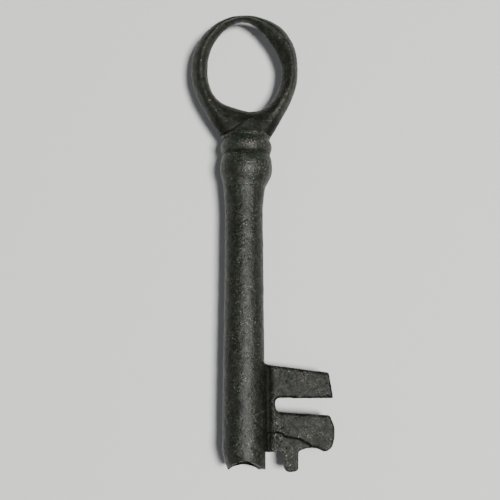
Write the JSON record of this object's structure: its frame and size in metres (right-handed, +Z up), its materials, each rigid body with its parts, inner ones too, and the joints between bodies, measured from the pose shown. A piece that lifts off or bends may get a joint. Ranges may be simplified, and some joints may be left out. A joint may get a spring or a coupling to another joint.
{
  "type": "bronze key",
  "caption": "Old bronze key with an open ring bow, a turned knop and collar, a hollow stem and a flat cleft bit with a prong.",
  "frame": {"origin": "middle of the underside of the whole key, where it lies on its side on a table; the stem's axis is parallel to Y, 3.6 mm to the -X side of the origin and 5.8 mm above the table", "axes": "+Y along the stem from its hollow tip to the bow, +X from the stem out along the bit, +Z up from the table through the key's thickness"},
  "size_m": [0.0312, 0.1014, 0.0116],
  "materials": {
    "bow_bronze": "old bronze, dark olive patina, satin where worn",
    "bead_bronze": "old bronze, green-brown patina, rubbed bright on the full of the knop",
    "stem_bronze": "old bronze, dark patina with fine pitting and long scratches",
    "bit_bronze": "old bronze, grey-brown patina, pitted and partly flaked"
  },
  "bodies": {
    "root": {"bow": "bow_bronze", "neck": "bead_bronze", "collar": "bead_bronze", "knop": "bead_bronze", "stem": "stem_bronze", "bit": "bit_bronze"}
  },
  "joints": []
}
